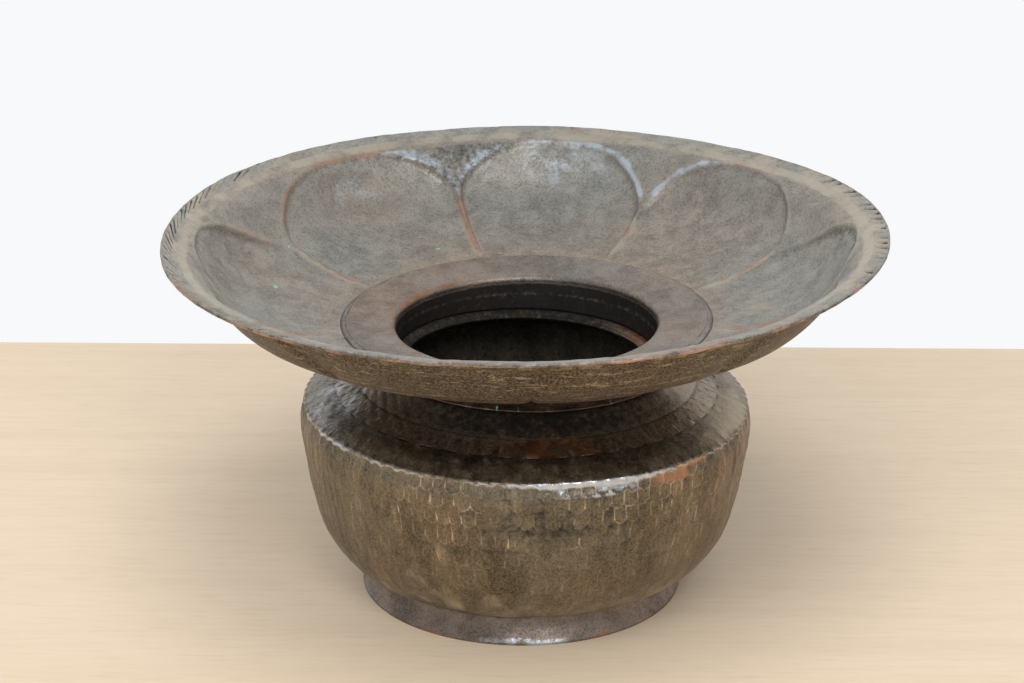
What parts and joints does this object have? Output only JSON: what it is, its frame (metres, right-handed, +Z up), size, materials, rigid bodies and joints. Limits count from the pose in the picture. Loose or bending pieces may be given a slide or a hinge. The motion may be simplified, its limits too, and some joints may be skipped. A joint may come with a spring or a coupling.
{
  "type": "footed metal basin",
  "caption": "Round hammered vessel on a flared foot, with a sloping shoulder, a short neck and a wide petalled dish around its open mouth; stands free and catches or holds liquid.",
  "frame": {"origin": "centre of the ring that the foot stands on", "axes": "+Z up along the vessel's axis; -Y faces the viewer; +X to the viewer's right"},
  "size_m": [0.2994, 0.2994, 0.156],
  "materials": {
    "dish_copper": "aged tinned copper, taupe brown with bare copper on the petal ridges and the lip",
    "mouth_copper": "aged tinned copper, purple brown, coppery on the mouth's edge, sooty inside",
    "neck_copper": "darkened copper, paler worn lower edge",
    "shoulder_copper": "darkened copper, fluted by the planishing hammer, red copper glow in places",
    "bowl_copper": "aged tinned copper, hammered in courses of small facets with pale worn borders",
    "foot_copper": "aged tinned copper, purple grey, bare copper along the lower edge",
    "brass_filler": "dull brass spelter left as it flowed",
    "tin_solder": "dull grey solder in small beads"
  },
  "bodies": {
    "root": {"foot_ring": "foot_copper", "foot_braze": "brass_filler", "lower_bowl": "bowl_copper", "shoulder": "shoulder_copper", "seam_braze": "brass_filler", "neck_collar": "neck_copper", "neck_base_braze": "brass_filler", "neck_top_braze": "brass_filler", "petal_dish": "dish_copper", "mouth_ring": "mouth_copper", "flange_solder": "tin_solder"}
  },
  "joints": []
}
